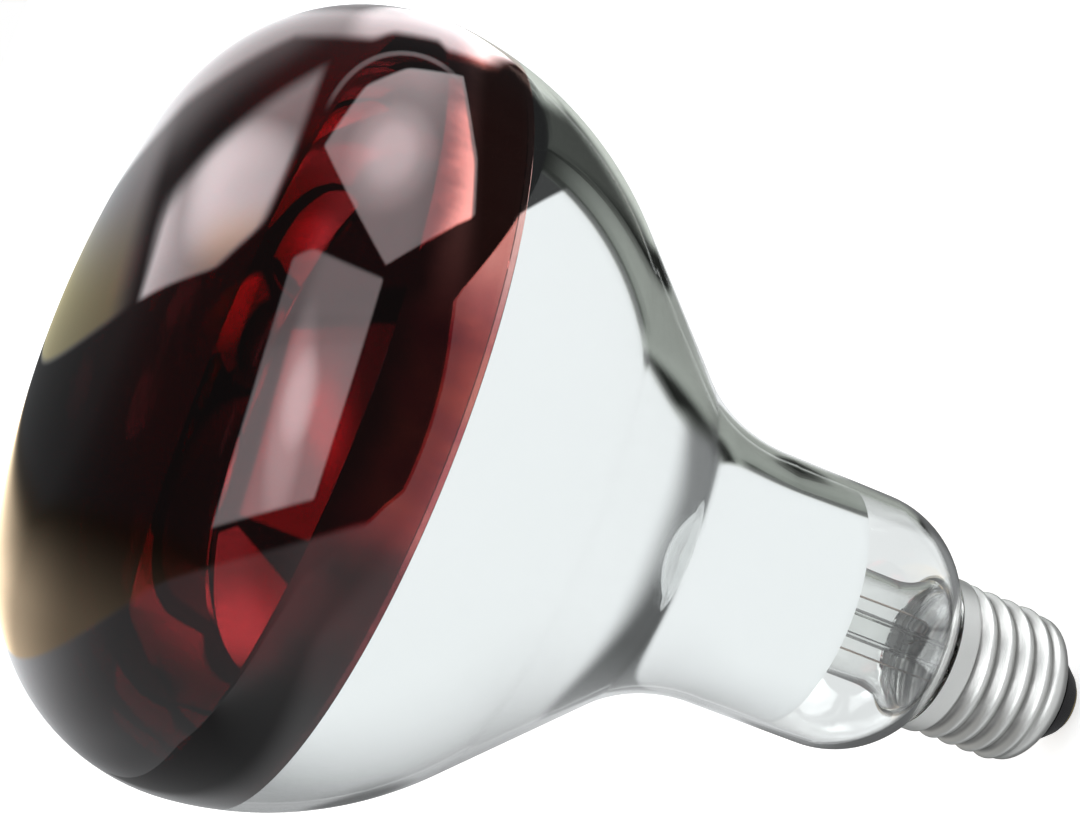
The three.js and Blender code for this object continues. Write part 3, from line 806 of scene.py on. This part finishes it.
# The upper window over it, with the sun in it, and the thin line of an arch round its top
upper_window = (
    (y - 1.35 * x).step(110.0, 106.5)
    * (y - 0.45 * x).step(105.0, 102.5)
    * y.step(112.0, 110.0)
    * (x + 0.27 * y).step(77.5, 76.0)
    * x.step(57.5, 56.0)
    * (x + y).step(57.5, 59.5)
    * (y - 0.33 * x).step(34.5, 36.0)
)
glare = oval(13.0, 76.0, 26.0, 22.0).step(1.0, 0.0)
sun = oval(13.0, 76.0, 16.0, 14.0).step(1.0, 0.0)
upper_pane = 1.9 + 1.4 * x.step(50, 22) + 3.0 * glare + 2.2 * sun
arch_line = oval(16.0, 76.0, 43.0, 43.0).maths("SQRT")
arch = arch_line.step(0.95, 0.99) * arch_line.step(1.05, 1.01)
arch = arch * (y + 0.5 * x).step(78, 90) * x.step(50, 30)

# The bright wall at the upper left, and the backdrop outside it all round
wall = (
    x.step(-119, -112)
    * (y - 0.49 * (x + 110.0)).step(74, 64)
    * y.step(48.5, 50.5)
    * (y - 0.42 * (x + 65.0)).step(48, 52)
    * (x - 0.2 * (y - 60.0)).step(-36, -44)
    * (x - 0.5 * (y - 90.0)).step(-26, -34)
)
wall_light = 2.3 + 1.0 * y.step(74, 56) + 5.6 * oval(-62.0, 70.0, 42.0, 22.0).step(1.0, 0.0)
outward = y - 0.5 * x
hump = x.step(-8, 6) * x.step(38, 28)
backdrop = outward.step(148, 157).maths("MAXIMUM", (y - 6.0 * hump).step(122, 130)) * x.step(66, 54)
backdrop_light = 1.35 + 1.6 * x.step(-28, -8) - 0.9 * y.step(142, 154) * x.step(20, -10)

# A khaki surface at the far left, which ends in a straight edge below
khaki = x.step(-118, -127) * (y - 0.45 * (x + 150.0)).step(34, 36.5) * outward.step(158, 148)
faint = outward.step(130, 150) * (1.0 - backdrop) * (1.0 - khaki) * (1.0 - wall) * x.step(-20, -60)

# The pale ground in front of the table, and a brown surface above it that grows brighter to the left
ground = (y - 0.28 * x).step(-15, -19) * y.step(-32, -35) * x.step(50, 40)
ground_light = 0.43 + 0.21 * x.step(-15, 5)
ground_light = ground_light + 0.95 * x.step(-75, -160) * (1.0 - 0.75 * y.step(-50, -100))
ground_light = ground_light * (1.0 - 0.35 * y.step(-88, -112) * x.step(-40, -80))
lift = y + 0.45 * (x + 100.0)
brown = lift.step(-3, -40) * (1.0 - ground) * x.step(-15, -45) * y.step(16, 4)
brown_light = 0.9 + 0.35 * x.step(-100, -130) + 1.1 * x.step(-136, -152)

light = (
    ROOM * (1.0 - 0.75 * x.step(50, 62))
    + long_window * pane
    + upper_window * upper_pane
    + arch
    + wall * wall_light
    + backdrop * backdrop_light
    + 0.33 * faint
    + 0.5 * khaki
    + ground * ground_light
    + brown * brown_light
)
colour = (khaki * y.step(74, 48)).blend(NEAR_WHITE, KHAKI)
colour = (wall * y.step(68, 54) * x.step(-95, -62)).blend(colour, WARM_WALL)
earth = lift.step(4, -8) * x.step(-20, -50) * (1.0 - ground) * y.step(20, 8)
colour = earth.blend(colour, EARTH)

# Plain white for the camera and straight through clear glass, and an even light on what is matt
lit = light * (1.0 - diffuse_ray) * (1.0 - straight) + diffuse_ray * SURROUND + straight * SEEN_THROUGH
strength = paint(lit, camera_ray, 1.0)
tone = camera_ray.maths("MAXIMUM", straight).blend(colour, WHITE)
background = tree.nodes["Background"]
tree.links.new(tone.socket, background.inputs["Color"])
tree.links.new(strength.socket, background.inputs["Strength"])
